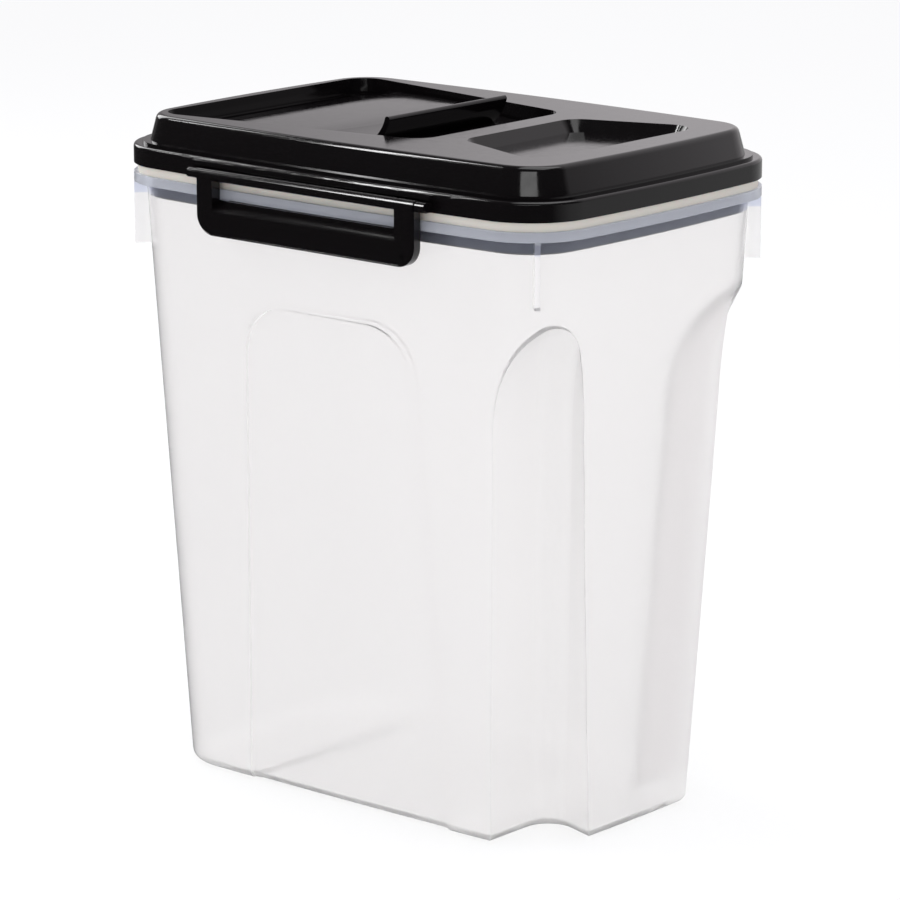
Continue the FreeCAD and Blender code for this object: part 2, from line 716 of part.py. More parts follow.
def build_lid():
    """The black lid: skirt, raised top, recesses, plug ring and latch ears."""
    skirt = extrude("skirt_raw", rim_outline("skirt_outline", zero, skirt_bottom),
                    size.skirt_height)
    skirt = rounded("skirt", skirt, size.skirt_rounding, at_height(ledge_top))
    bead = extrude("bead", rim_outline("bead_outline", size.step_inset, ledge_top - size.lid_shell),
                   size.lid_shell + size.step_height)
    foot = rim_outline("plateau_foot", size.plateau_inset, ledge_top - size.lid_shell)
    head = rim_outline("plateau_head", size.plateau_inset + size.plateau_taper, plateau_top)
    plateau = loft("plateau_raw", [foot, head])
    plateau = rounded("plateau", plateau, size.plateau_rounding, at_height(plateau_top))
    plug = extrude("plug", rim_outline("plug_outline", plug_outer, rim_top - size.plug_depth),
                   size.plug_depth + size.seal_height + size.lid_shell)
    outer = fuse("lid_outer", [skirt, bead, plateau, plug] + latch_mounts())

    below = size.plug_depth
    cavity_low = extrude("cavity_low", rim_outline("cavity_outline", plug_inner,
                                                   rim_top - size.plug_depth - below),
                         size.plug_depth + below + size.seal_height + size.skirt_height)
    cavity_foot = rim_outline("cavity_foot", plug_inner, ledge_top - size.lid_shell)
    cavity_head = rim_outline("cavity_head", plug_inner + size.plateau_taper,
                              plateau_top - size.lid_shell)
    cavity = fuse("cavity_raw", [cavity_low, loft("cavity_high", [cavity_foot, cavity_head])])
    flap_pan = pan("flap_pan", recess_left, size.recess_right, size.recess_half_left,
                   size.recess_half_right, recess_floor)
    small_pan = pan("small_pan", size.grip_recess_left, size.grip_recess_right,
                    size.grip_recess_half_left, size.grip_recess_half_right,
                    plateau_top - size.grip_recess_depth)
    cavity = cut("cavity", cavity, [flap_pan, small_pan])

    flap_recess = recess("flap_recess", recess_left, size.recess_right,
                         size.recess_half_left, size.recess_half_right)
    small_recess = dish()
    lip = mouth("mouth_lip", size.lip_width, recess_floor, size.lip_height)
    flap_recess = cut("flap_recess_lipped", flap_recess, [lip])
    opening = mouth("mouth_opening", zero, recess_floor - size.recess_depth, size.recess_depth * 2)
    groove_outer = rim_outline("groove_outer", size.seal_inset + size.tongue_inset
                               - size.tongue_clearance, skirt_bottom)
    groove_inner = rim_outline("groove_inner", size.seal_inset + size.tongue_inset
                               + size.tongue_width + size.tongue_clearance, skirt_bottom)
    groove = ring("groove", groove_outer, groove_inner,
                  size.tongue_height + size.tongue_clearance)
    holes = flap_hinge_rods("flap_hole", size.pin_clearance, size.pin_clearance)
    holes += latch_rods("latch_hole", size.pin_clearance, size.latch_pin_length + size.ear_gap)
    return cut("lid", outer, [cavity, flap_recess, small_recess, opening, groove] + holes)


def latch_mounts():
    """Hinge ears and the strip above each latch, moulded on both long sides."""
    solids = []
    ear_start = size.latch_length / 2 + size.ear_gap
    inner = size.lid_width / 2 - size.side_bow
    for side, label in ((-1, "front"), (1, "rear")):
        middle = hinge_y * side
        for end, place in ((-1, "left"), (1, "right")):
            low_x = ear_start if end > 0 else -ear_start - size.ear_width
            knuckle = pin("%s_%s_knuckle" % (label, place), size.ear_radius, size.ear_width,
                          (low_x, middle, hinge_z), Vector(1, 0, 0))
            low_y = inner if side > 0 else -hinge_y
            arm = box("%s_%s_arm" % (label, place),
                      (low_x, low_y, hinge_z - size.ear_radius),
                      (size.ear_width, hinge_y - inner, size.ear_radius * 2))
            solids += [knuckle, arm]
        strip_half = ear_start + size.ear_width
        strip_depth = size.side_bow + size.shroud_reach
        strip_y = inner if side > 0 else -inner - strip_depth
        solids.append(box(label + "_shroud",
                          (-strip_half, strip_y, latch_top + size.shroud_gap),
                          (strip_half * 2, strip_depth, size.shroud_height)))
    return solids


def latch_rods(name, growth, length):
    """The four places where latches turn, as rods along X."""
    rods = []
    start = size.latch_length / 2
    for side, label in ((-1, "front"), (1, "rear")):
        for end, place in ((-1, "left"), (1, "right")):
            low_x = start if end > 0 else -start - length
            rods.append(pin("%s_%s_%s" % (name, label, place), size.latch_pin_radius + growth,
                            length, (low_x, hinge_y * side, hinge_z), Vector(1, 0, 0)))
    return rods


def build_lid_seal():
    """The ivory silicone ring between the lid and the rim, with its tongue."""
    band = ring("seal_band", rim_outline("seal_outer", size.seal_inset, rim_top),
                rim_outline("seal_inner", size.seal_inset + size.seal_width, rim_top),
                size.seal_height)
    tongue_outer = size.seal_inset + size.tongue_inset
    tongue = ring("seal_tongue", rim_outline("tongue_outer", tongue_outer, skirt_bottom),
                  rim_outline("tongue_inner", tongue_outer + size.tongue_width, skirt_bottom),
                  size.tongue_height)
    return fuse("lid_seal", [band, tongue])


# --- flap and its seal ---------------------------------------------------------

flap_barrel_radius = (tier_level - recess_floor) / 2 - size.pin_clearance * 5
flap_left = recess_left + size.tier_width + size.flap_clearance
flap_hinge_x = flap_left + flap_barrel_radius + size.flap_clearance
flap_hinge_z = tier_level - flap_barrel_radius
flap_underside = tier_level - size.flap_thickness


def flap_side_at(place):
    """Half width of the flap at a place along X."""
    slope = (size.recess_half_left - size.recess_half_right) \
        / (size.recess_right - recess_left)
    return size.recess_half_left - size.tier_width - size.flap_clearance \
        - slope * (place - recess_left)


def flap_hinge_rods(name, growth, extra):
    """The two hinge stubs of the flap as rods along Y, or their holes."""
    rods = []
    side = size.recess_half_left - size.flap_hinge_inset
    length = size.flap_pin_length + extra
    for end, label in ((-1, "front"), (1, "rear")):
        low = side if end > 0 else -side - length
        rods.append(pin("%s_%s" % (name, label), size.flap_pin_radius + growth, length,
                        (flap_hinge_x, low, flap_hinge_z), Vector(0, 1, 0)))
    return rods


def build_flap():
    """The crowned pour flap with its hinge barrel and upright pull tab."""
    half_left = flap_side_at(flap_hinge_x) - size.flap_relief
    half_right = flap_side_at(size.flap_right)
    corner = size.flap_corner
    outline = trapezium("flap_outline", flap_hinge_x, size.flap_right, half_left, half_right,
                        corner, zero, flap_underside - size.tab_height)
    block = extrude("flap_block", outline, size.tab_height * 2)
    plate = common("flap_plate", (flap_profile(), block))
    barrel_half = half_left - corner
    barrel = pin("flap_barrel", flap_barrel_radius, barrel_half * 2,
                 (flap_hinge_x, -barrel_half, flap_hinge_z), Vector(0, 1, 0))
    return fuse("flap", [plate, barrel, pull_tab()] + flap_hinge_arms(barrel_half)
                + flap_hinge_rods("flap_pin", zero, zero))


def flap_hinge_arms(barrel_half):
    """Short bosses that carry the stubs out to the flap's sides."""
    arms = []
    side = size.recess_half_left - size.flap_hinge_inset
    for end, label in ((-1, "front"), (1, "rear")):
        low = barrel_half if end > 0 else -side
        arms.append(pin("flap_boss_" + label, flap_barrel_radius, side - barrel_half,
                        (flap_hinge_x, low, flap_hinge_z), Vector(0, 1, 0)))
    return arms


def flap_profile():
    """The plate's crowned section along X, as wide as the recess."""
    sketch = document.addObject("Sketcher::SketchObject", "flap_profile_outline")
    sketch.Placement = Placement(Vector(), Rotation(Vector(1, 0, 0), 90))
    bind(sketch, "Placement.Base.y", size.recess_half_left)
    half = (size.flap_right - flap_hinge_x) / 2
    middle = (size.flap_right + flap_hinge_x) / 2
    crown = size.flap_crown
    radius = (half * half + crown * crown) / (crown * 2)
    top = Vector(middle.value, tier_level.value + crown.value - radius.value, 0)
    lean = math.asin(half.value / radius.value)
    circle = Part.Circle(top, Vector(0, 0, 1), radius.value)
    quarter = math.pi / 2
    left = Vector(flap_hinge_x.value, tier_level.value, 0)
    right = Vector(size.flap_right.value, tier_level.value, 0)
    low_left = Vector(left.x, flap_underside.value, 0)
    low_right = Vector(right.x, flap_underside.value, 0)
    sketch.addGeometry(Part.ArcOfCircle(circle, quarter - lean, quarter + lean), False)
    sketch.addGeometry(Part.LineSegment(left, low_left), False)
    sketch.addGeometry(Part.LineSegment(low_left, low_right), False)
    sketch.addGeometry(Part.LineSegment(low_right, right), False)
    for index in range(4):
        following = (index + 1) % 4
        sketch.addConstraint(Sketcher.Constraint("Coincident", index, 2, following, 1))
    constrain(sketch, "crown_radius", radius, "Radius", 0)
    place_point(sketch, "left", 1, 1, flap_hinge_x, tier_level)
    place_point(sketch, "low_left", 2, 1, flap_hinge_x, flap_underside)
    place_point(sketch, "low_right", 3, 1, size.flap_right, flap_underside)
    place_point(sketch, "right", 0, 1, size.flap_right, tier_level)
    return extrude("flap_profile", sketch, size.recess_half_left * 2)


def pull_tab():
    """The lip that sweeps up from the plate and leans over the finger well."""
    sketch = document.addObject("Sketcher::SketchObject", "tab_outline")
    sketch.Placement = Placement(Vector(), Rotation(Vector(1, 0, 0), 90))
    bind(sketch, "Placement.Base.y", size.tab_half_width)
    inner = size.tab_sweep
    outer = size.tab_sweep + size.tab_thickness
    cap = size.tab_thickness / 2
    hub_z = tier_level + size.tab_sweep
    crest_z = tier_level + size.tab_height - cap
    hub = Vector(size.tab_start.value, hub_z.value, 0)
    up = Vector(0, 0, 1)
    last = math.asin((crest_z.value - hub_z.value) / (inner.value + cap.value))
    first = -math.acos(size.tab_thickness.value * 2 / outer.value)
    crest = hub + Vector(math.cos(last), math.sin(last), 0) * (inner.value + cap.value)
    low = hub + Vector(math.cos(first), math.sin(first), 0) * outer.value
    first_inner = -math.acos((low.x - hub.x) / inner.value)
    high = hub + Vector(math.cos(first_inner), math.sin(first_inner), 0) * inner.value
    sketch.addGeometry(Part.ArcOfCircle(Part.Circle(hub, up, outer.value), first, last), False)
    sketch.addGeometry(Part.ArcOfCircle(Part.Circle(crest, up, cap.value), last, last + math.pi), False)
    sketch.addGeometry(Part.ArcOfCircle(Part.Circle(hub, up, inner.value), first_inner, last), False)
    sketch.addGeometry(Part.LineSegment(high, low), False)
    sketch.addConstraint(Sketcher.Constraint("Tangent", 0, 2, 1, 1))
    sketch.addConstraint(Sketcher.Constraint("Tangent", 1, 2, 2, 2))
    sketch.addConstraint(Sketcher.Constraint("Coincident", 2, 1, 3, 1))
    sketch.addConstraint(Sketcher.Constraint("Coincident", 3, 2, 0, 1))
    sketch.addConstraint(Sketcher.Constraint("Coincident", 0, 3, 2, 3))
    sketch.addConstraint(Sketcher.Constraint("Vertical", 3))
    constrain(sketch, "outer_radius", outer, "Radius", 0)
    constrain(sketch, "inner_radius", inner, "Radius", 2)
    place_point(sketch, "hub", 0, 3, size.tab_start, hub_z)
    constrain(sketch, "crest_height", crest_z, "DistanceY", -1, 1, 1, 3)
    constrain(sketch, "foot", size.tab_thickness * 2, "DistanceX", 0, 3, 3, 1)
    return extrude("pull_tab", sketch, size.tab_half_width * 2)


def build_flap_seal():
    """The soft ring under the flap, pressed on the mouth's upstand."""
    height = flap_underside - recess_floor - size.lip_height
    outer = mouth("flap_seal_outside", size.lip_width, recess_floor + size.lip_height, height)
    inner = mouth("flap_seal_inside", zero, recess_floor + size.lip_height, height)
    return cut("flap_seal", outer, [inner])


# --- latches -------------------------------------------------------------------

def build_latch(label, turned):
    """A wide clip latch: a framed window, a lower bar with a hook, a barrel."""
    inner_y = size.lid_width / 2 + size.latch_gap
    outer_y = inner_y + size.latch_depth
    latch_bottom = latch_top - size.latch_height
    bar_top = latch_bottom + size.bar_height
    hook_top = flange_bottom - size.hook_clearance
    half = size.latch_length / 2
    outlines = []
    for index, (place, inset) in enumerate([
        (-outer_y, size.latch_bevel),
        (-outer_y + size.latch_bevel, zero),
        (-inner_y, zero),
    ]):
        outlines.append(latch_outline("%s_outline_%d" % (label, index), place, inset, latch_bottom))
    blank = loft(label + "_blank", outlines)
    barrel = pin(label + "_barrel", size.barrel_radius, size.latch_length, (-half, -hinge_y, hinge_z),
                 Vector(1, 0, 0))
    window = latch_window(label, outer_y, inner_y, bar_top, hook_top)
    dimple = pin(label + "_dimple", size.dimple_radius, size.dimple_depth * 2,
                 (half - size.dimple_inset, -outer_y - size.dimple_depth,
                  latch_bottom + size.dimple_height), Vector(0, 1, 0))
    frame = cut(label + "_frame", blank, [window, dimple])
    root_depth = size.latch_depth / 4
    hook = box(label + "_hook",
               (-size.hook_length / 2, -inner_y - root_depth, hook_top - size.hook_thickness),
               (size.hook_length, size.hook_reach + root_depth, size.hook_thickness))
    stubs = []
    for end, place in ((-1, "left"), (1, "right")):
        low_x = half if end > 0 else -half - size.latch_pin_length
        stubs.append(pin("%s_stub_%s" % (label, place), size.latch_pin_radius,
                         size.latch_pin_length, (low_x, -hinge_y, hinge_z), Vector(1, 0, 0)))
    latch = fuse(label, [frame, barrel, hook] + stubs)
    if turned:
        latch.Placement = Placement(Vector(), Rotation(Vector(0, 0, 1), 180))
    return latch


def latch_outline(name, place, inset, latch_bottom):
    """A latch's outline at a place along Y: square on top, round at its foot."""
    sketch = document.addObject("Sketcher::SketchObject", name)
    sketch.Placement = Placement(Vector(), Rotation(Vector(1, 0, 0), 90))
    bind(sketch, "Placement.Base.y", place)
    half = size.latch_length / 2 - inset
    low = latch_bottom + inset
    radius = size.latch_foot_corner - inset
    centre_x = half - radius
    centre_z = low + radius
    right_x = half.value
    turn_x = centre_x.value
    turn_z = centre_z.value
    top_z = hinge_z.value
    up = Vector(0, 0, 1)
    quarter = math.pi / 2
    right_circle = Part.Circle(Vector(turn_x, turn_z, 0), up, radius.value)
    left_circle = Part.Circle(Vector(-turn_x, turn_z, 0), up, radius.value)
    corners = [Vector(-turn_x, low.value, 0), Vector(turn_x, low.value, 0),
               Vector(right_x, turn_z, 0), Vector(right_x, top_z, 0),
               Vector(-right_x, top_z, 0), Vector(-right_x, turn_z, 0)]
    sketch.addGeometry(Part.LineSegment(corners[0], corners[1]), False)
    sketch.addGeometry(Part.ArcOfCircle(right_circle, -quarter, 0), False)
    sketch.addGeometry(Part.LineSegment(corners[2], corners[3]), False)
    sketch.addGeometry(Part.LineSegment(corners[3], corners[4]), False)
    sketch.addGeometry(Part.LineSegment(corners[4], corners[5]), False)
    sketch.addGeometry(Part.ArcOfCircle(left_circle, 2 * quarter, 3 * quarter), False)
    sketch.addConstraint(Sketcher.Constraint("Tangent", 0, 2, 1, 1))
    sketch.addConstraint(Sketcher.Constraint("Tangent", 1, 2, 2, 1))
    sketch.addConstraint(Sketcher.Constraint("Coincident", 2, 2, 3, 1))
    sketch.addConstraint(Sketcher.Constraint("Coincident", 3, 2, 4, 1))
    sketch.addConstraint(Sketcher.Constraint("Tangent", 4, 2, 5, 1))
    sketch.addConstraint(Sketcher.Constraint("Tangent", 5, 2, 0, 1))
    constrain(sketch, "foot_radius", radius, "Radius", 1)
    sketch.addConstraint(Sketcher.Constraint("Equal", 1, 5))
    place_point(sketch, "right_turn", 1, 3, centre_x, centre_z)
    place_point(sketch, "left_turn", 5, 3, -centre_x, centre_z)
    place_point(sketch, "right_top", 2, 2, half, hinge_z)
    place_point(sketch, "left_top", 4, 1, -half, hinge_z)
    return sketch


def latch_window(label, outer_y, inner_y, bar_top, hook_top):
    """The window through a latch, bevelled on its outer face."""
    sill = document.addObject("Sketcher::SketchObject", label + "_window_outline")
    sill.Placement = Placement(Vector(), Rotation(0.5, 0.5, 0.5, 0.5))
    bind(sill, "Placement.Base.x", -size.window_length / 2)
    beyond = size.latch_depth
    fill_polygon(sill, [
        (-inner_y + beyond, hook_top),
        (-inner_y, hook_top),
        (-outer_y, bar_top),
        (-outer_y - beyond, bar_top),
        (-outer_y - beyond, latch_top - size.window_bevel),
        (-outer_y, latch_top - size.window_bevel),
        (-inner_y, hinge_z - size.barrel_radius),
        (-inner_y + beyond, hinge_z - size.barrel_radius),
    ])
    return extrude(label + "_window", sill, size.window_length)


# --- the pieces, their checks and their files ------------------------------------

pieces = {
    "tub": build_tub(),
    "lid": build_lid(),
    "lid_seal": build_lid_seal(),
    "flap": build_flap(),
    "flap_seal": build_flap_seal(),
    "front_latch": build_latch("front_latch", False),
    "rear_latch": build_latch("rear_latch", True),
}
document.recompute()

for thing in document.Objects:
    if "Invalid" in thing.State or "Error" in thing.State:
        raise RuntimeError("%s did not recompute: %s" % (thing.Name, thing.State))

os.makedirs("parts", exist_ok=True)
for node, piece in pieces.items():
    piece.Label = node
    shape = piece.Shape
    if shape.isNull() or not shape.isValid():
        raise RuntimeError("%s has no valid shape" % node)
    if len(shape.Solids) != 1:
        raise RuntimeError("%s is %d solids" % (node, len(shape.Solids)))
    shape.exportStep("parts/%s.step" % node)
    print(node, round(shape.Volume), shape.BoundBox)
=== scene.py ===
import math

import bmesh
import bpy
from mathutils import Matrix, Vector


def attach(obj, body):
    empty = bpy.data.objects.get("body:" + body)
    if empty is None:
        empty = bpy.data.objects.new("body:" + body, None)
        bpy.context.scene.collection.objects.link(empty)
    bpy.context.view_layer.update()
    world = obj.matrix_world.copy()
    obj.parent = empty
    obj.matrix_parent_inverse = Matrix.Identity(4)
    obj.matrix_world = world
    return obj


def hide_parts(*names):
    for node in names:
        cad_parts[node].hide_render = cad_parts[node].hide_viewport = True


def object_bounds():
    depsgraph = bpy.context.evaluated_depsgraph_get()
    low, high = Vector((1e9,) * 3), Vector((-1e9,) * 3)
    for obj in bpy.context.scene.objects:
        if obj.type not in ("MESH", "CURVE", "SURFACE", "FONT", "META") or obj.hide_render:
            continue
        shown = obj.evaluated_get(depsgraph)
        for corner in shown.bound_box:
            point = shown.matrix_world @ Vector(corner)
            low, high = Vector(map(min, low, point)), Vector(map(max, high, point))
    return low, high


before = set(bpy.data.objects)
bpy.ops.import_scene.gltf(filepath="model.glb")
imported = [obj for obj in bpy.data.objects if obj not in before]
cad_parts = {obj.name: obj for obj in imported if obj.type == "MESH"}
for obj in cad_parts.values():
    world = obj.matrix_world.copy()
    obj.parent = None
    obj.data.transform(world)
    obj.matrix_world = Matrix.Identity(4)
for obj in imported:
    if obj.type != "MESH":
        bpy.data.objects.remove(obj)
cad_low, cad_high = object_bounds()


# Tub: one injection moulding in natural polypropylene, milky clear and glossy, with a slight
# ripple from the mould. The thicker flange and the corner fins are hazier than the wall. Above
# the foot of the lid's black plug a cooler tint is painted into the wall's colour: painted
# light, the bluish cast of the haze in front of the dark plug.

def linear(hex_colour):
    """An sRGB hex colour as linear RGBA."""
    channels = [int(hex_colour[i:i + 2], 16) / 255 for i in (0, 2, 4)]
    return [c / 12.92 if c <= 0.04045 else ((c + 0.055) / 1.055) ** 2.4 for c in channels] + [1.0]


def add_node(owner, kind, settings=None, links=None):
    """Adds a node to a material or world, with its settings and its links from outputs."""
    node = owner.node_tree.nodes.new(kind)
    for name, value in (settings or {}).items():
        if isinstance(name, int) or name in node.inputs.keys():
            node.inputs[name].default_value = value
        else:
            setattr(node, name, value)
    for name, output in (links or {}).items():
        owner.node_tree.links.new(output, node.inputs[name])
    return node


def new_material(name):
    """A node material with no nodes yet."""
    material = bpy.data.materials.new(name)
    material.use_nodes = True
    material.node_tree.nodes.clear()
    return material


def finish_material(material, shader):
    """Links a shader to the surface of a material."""
    add_node(material, "ShaderNodeOutputMaterial", links={"Surface": shader.outputs[0]})


def dress(node, material):
    """Gives a CAD node its finish."""
    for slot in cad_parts[node].material_slots:
        slot.material = material


ripple_scale = 14.0  # waves about 70 mm long
flange_foot = 0.2922
plug_foot = 0.2870
fin_reach = 0.2022  # |x| + |y| past the wall's corners, where only fins and flange are
fin_haze_share = 0.5
wall_clearness = 0.93
flange_clearness = 0.62

clear_pp = new_material("natural_polypropylene_moulded")
place = add_node(clear_pp, "ShaderNodeTexCoord")
ripple = add_node(clear_pp, "ShaderNodeTexNoise",
                  {"Scale": ripple_scale, "Detail": 2.0, "Roughness": 0.4},
                  {"Vector": place.outputs["Object"]})
ripple_bump = add_node(clear_pp, "ShaderNodeBump", {"Strength": 0.05, "Distance": 0.002},
                       {"Height": ripple.outputs["Fac"]})
point = add_node(clear_pp, "ShaderNodeSeparateXYZ", {}, {"Vector": place.outputs["Object"]})
thick = add_node(clear_pp, "ShaderNodeMapRange",
                 {"From Min": flange_foot - 0.0003, "From Max": flange_foot + 0.0003},
                 {"Value": point.outputs["Z"]})
flat_x = add_node(clear_pp, "ShaderNodeMath", {"operation": "ABSOLUTE"},
                  {0: point.outputs["X"]})
flat_y = add_node(clear_pp, "ShaderNodeMath", {"operation": "ABSOLUTE"},
                  {0: point.outputs["Y"]})
outward = add_node(clear_pp, "ShaderNodeMath", {"operation": "ADD"},
                   {0: flat_x.outputs[0], 1: flat_y.outputs[0]})
fin_haze = add_node(clear_pp, "ShaderNodeMapRange",
                    {"From Min": fin_reach, "From Max": fin_reach + 0.0002,
                     "To Max": fin_haze_share},
                    {"Value": outward.outputs[0]})
haze = add_node(clear_pp, "ShaderNodeMath", {"operation": "MAXIMUM"},
                {0: thick.outputs["Result"], 1: fin_haze.outputs["Result"]})
clearness = add_node(clear_pp, "ShaderNodeMapRange",
                     {"To Min": wall_clearness, "To Max": flange_clearness},
                     {"Value": haze.outputs[0]})
# Painted light: above the plug's foot the wall is tinted cooler, standing in for the bluish cast
# of the haze in front of the dark plug.
behind = add_node(clear_pp, "ShaderNodeMapRange",
                  {"From Min": plug_foot, "From Max": plug_foot + 0.0005},
                  {"Value": point.outputs["Z"]})
painted_cool_cast = add_node(clear_pp, "ShaderNodeMixRGB",
                {"Color1": linear("fffefe"), "Color2": linear("e4e8f6")},
                {"Fac": behind.outputs["Result"]})
tint = add_node(clear_pp, "ShaderNodeMixRGB", {"Color2": linear("dcdfe6")},
                {"Fac": thick.outputs["Result"], "Color1": painted_cool_cast.outputs["Color"]})
clear_shader = add_node(clear_pp, "ShaderNodeBsdfPrincipled", {
    "Roughness": 0.3,
    "IOR": 1.12,
    "Coat Weight": 0.5,
    "Coat Roughness": 0.08,
    "Coat IOR": 1.49,
}, {"Normal": ripple_bump.outputs["Normal"], "Base Color": tint.outputs["Color"],
    "Transmission Weight": clearness.outputs["Result"]})
finish_material(clear_pp, clear_shader)
dress("tub", clear_pp)


# Lid, flap and latches: gloss black polypropylene, polished mould, so the skin is nearly
# a mirror at low angles. Faint flow ripple, and a fine dust of scuffs in the roughness.

flow_scale = 22.0  # flow marks about 45 mm long
scuff_scale = 260.0  # scuffs about 4 mm wide

black_pp = new_material("black_polypropylene_gloss")
place = add_node(black_pp, "ShaderNodeTexCoord")
flow = add_node(black_pp, "ShaderNodeTexNoise",
                {"Scale": flow_scale, "Detail": 2.0, "Roughness": 0.45},
                {"Vector": place.outputs["Object"]})
flow_bump = add_node(black_pp, "ShaderNodeBump", {"Strength": 0.04, "Distance": 0.001},
                     {"Height": flow.outputs["Fac"]})
scuff = add_node(black_pp, "ShaderNodeTexNoise",
                 {"Scale": scuff_scale, "Detail": 4.0, "Roughness": 0.6},
                 {"Vector": place.outputs["Object"]})
scuff_range = add_node(black_pp, "ShaderNodeMapRange",
                       {"From Min": 0.3, "From Max": 0.7, "To Min": 0.09, "To Max": 0.15},
                       {"Value": scuff.outputs["Fac"]})
black_shader = add_node(black_pp, "ShaderNodeBsdfPrincipled", {
    "Base Color": linear("0a0809"),
    "IOR": 1.49,
}, {"Normal": flow_bump.outputs["Normal"], "Roughness": scuff_range.outputs["Result"]})
finish_material(black_pp, black_shader)


def polished(node, body, material, crease, shift=lambda point: None, cuts=()):
    """A moulding with true flat faces, so that its gloss is even, in place of its CAD node."""
    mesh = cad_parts[node].data.copy()
    if "custom_normal" in mesh.attributes:
        mesh.attributes.remove(mesh.attributes["custom_normal"])
    clean = bmesh.new()
    clean.from_mesh(mesh)
    bmesh.ops.remove_doubles(clean, verts=clean.verts, dist=2e-6)
    for cut in cuts:
        bmesh.ops.bisect_plane(clean, geom=clean.verts[:] + clean.edges[:] + clean.faces[:],
                               plane_co=(cut, 0, 0), plane_no=(1, 0, 0))
    for vertex in clean.verts:
        shift(vertex.co)
    bmesh.ops.dissolve_limit(clean, angle_limit=math.radians(0.2), verts=clean.verts,
                             edges=clean.edges, use_dissolve_boundaries=False)
    clean.to_mesh(mesh)
    clean.free()
    mesh.shade_smooth()
    mesh.set_sharp_from_angle(angle=math.radians(crease))
    mesh.materials.clear()
    mesh.materials.append(material)
    piece = bpy.data.objects.new(node + "_moulding", mesh)
    bpy.context.collection.objects.link(piece)
    even = piece.modifiers.new("even_gloss", "WEIGHTED_NORMAL")
    even.keep_sharp = True
    even.weight = 100
    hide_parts(node)
    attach(piece, body)


crease_angle = 32
plug_foot_top = 0.2888
plug_drop = 0.0022
plate_low, plate_high = 0.3172, 0.3208
plate_rise = 0.0026
ramp = 0.012
hinge_ramp_start = -0.1015
tab_ramp_start = -0.022


def lower_plug(point):
    """The foot of the lid's plug hangs a little lower, as its wall is drawn out thin."""
    if point.z < plug_foot_top:
        point.z -= plug_drop


def lift_plate(point):
    """The flap's plate stands up between its hinge and its tab."""
    if plate_low < point.z < plate_high:
        rise = min(1.0, (tab_ramp_start - point.x) / ramp, (point.x - hinge_ramp_start) / ramp)
        point.z += plate_rise * max(0.0, rise)


plate_cuts = (tab_ramp_start, tab_ramp_start - ramp, hinge_ramp_start + ramp, hinge_ramp_start)
polished("lid", "lid", black_pp, crease_angle, lower_plug)
polished("flap", "flap", black_pp, crease_angle, lift_plate, plate_cuts)
for node in ("front_latch", "rear_latch"):
    polished(node, node, black_pp, crease_angle)


# Seals: ivory silicone rings, soft and matte.

silicone = new_material("ivory_silicone_soft")
place = add_node(silicone, "ShaderNodeTexCoord")
mottle = add_node(silicone, "ShaderNodeTexNoise", {"Scale": 300.0, "Detail": 3.0},
                  {"Vector": place.outputs["Object"]})
mottle_bump = add_node(silicone, "ShaderNodeBump", {"Strength": 0.08, "Distance": 0.0004},
                       {"Height": mottle.outputs["Fac"]})
silicone_shader = add_node(silicone, "ShaderNodeBsdfPrincipled", {
    "Base Color": linear("d9d4c8"),
    "Roughness": 0.5,
    "IOR": 1.42,
    "Subsurface Weight": 0.15,
    "Subsurface Scale": 0.002,
}, {"Normal": mottle_bump.outputs["Normal"]})
finish_material(silicone, silicone_shader)
for node in ("lid_seal", "flap_seal"):
    dress(node, silicone)


# Floor: plain white table top. It takes the bin's soft shadow and runs out of sight. In the
# gloss of the black pieces it shows a painted reflection: a glow, dark in front and paler
# behind, that only glossy rays see.

half_floor = 8.0
floor_height = -0.0005
floor_mesh = bpy.data.meshes.new("floor")
floor_mesh.from_pydata([(x * half_floor, y * half_floor, floor_height)
                        for x, y in ((-1, -1), (1, -1), (1, 1), (-1, 1))], [], [(0, 1, 2, 3)])
floor = bpy.data.objects.new("floor", floor_mesh)
bpy.context.collection.objects.link(floor)

glow_share = 0.8
glow_through_tub = 1.1
floor_paint = new_material("white_table")
floor_shader = add_node(floor_paint, "ShaderNodeBsdfPrincipled", {
    "Base Color": linear("f2f2f2"), "Roughness": 0.9})
floor_glow = add_node(floor_paint, "ShaderNodeEmission", {"Color": linear("ffffff")})
ray = add_node(floor_paint, "ShaderNodeLightPath")
seen = add_node(floor_paint, "ShaderNodeMath", {"operation": "MAXIMUM"},
                {0: ray.outputs["Is Camera Ray"], 1: ray.outputs["Is Transmission Ray"]})
table_glow = add_node(floor_paint, "ShaderNodeMapRange",
                      {"To Min": 1.0, "To Max": glow_through_tub},
                      {"Value": ray.outputs["Is Transmission Ray"]})
floor_paint.node_tree.links.new(table_glow.outputs["Result"], floor_glow.inputs["Strength"])
share = add_node(floor_paint, "ShaderNodeMath", {"operation": "MULTIPLY", 1: glow_share},
                 {0: seen.outputs[0]})
# Painted reflection: for glossy rays the floor glows, weakly in front and more brightly behind,
# in place of its lit and shaded look.
spot = add_node(floor_paint, "ShaderNodeNewGeometry")
ahead = add_node(floor_paint, "ShaderNodeVectorMath",
                 {"operation": "DOT_PRODUCT", 1: (0.35, 0.94, 0.0)},
                 {0: spot.outputs["Position"]})
painted_reflection_strength = add_node(floor_paint, "ShaderNodeMapRange",
                       {"From Min": 0.1, "From Max": 1.0, "To Min": 0.04, "To Max": 0.5},
                       {"Value": ahead.outputs["Value"]})
painted_table_reflection = add_node(floor_paint, "ShaderNodeEmission", {"Color": linear("ffffff")},
                          {"Strength": painted_reflection_strength.outputs["Result"]})
floor_look = add_node(floor_paint, "ShaderNodeMixShader", {},
                      {"Fac": ray.outputs["Is Glossy Ray"], 1: floor_shader.outputs[0],
                       2: painted_table_reflection.outputs[0]})
floor_mix = add_node(floor_paint, "ShaderNodeMixShader", {},
                     {"Fac": share.outputs[0], 1: floor_look.outputs[0],
                      2: floor_glow.outputs[0]})
finish_material(floor_paint, floor_mix)
floor.data.materials.append(floor_paint)


# Studio: white surroundings, which gloss sees only behind the bin, with a dark room in front.
# Two softboxes light the bin and three strips draw the bright lines on its lid.

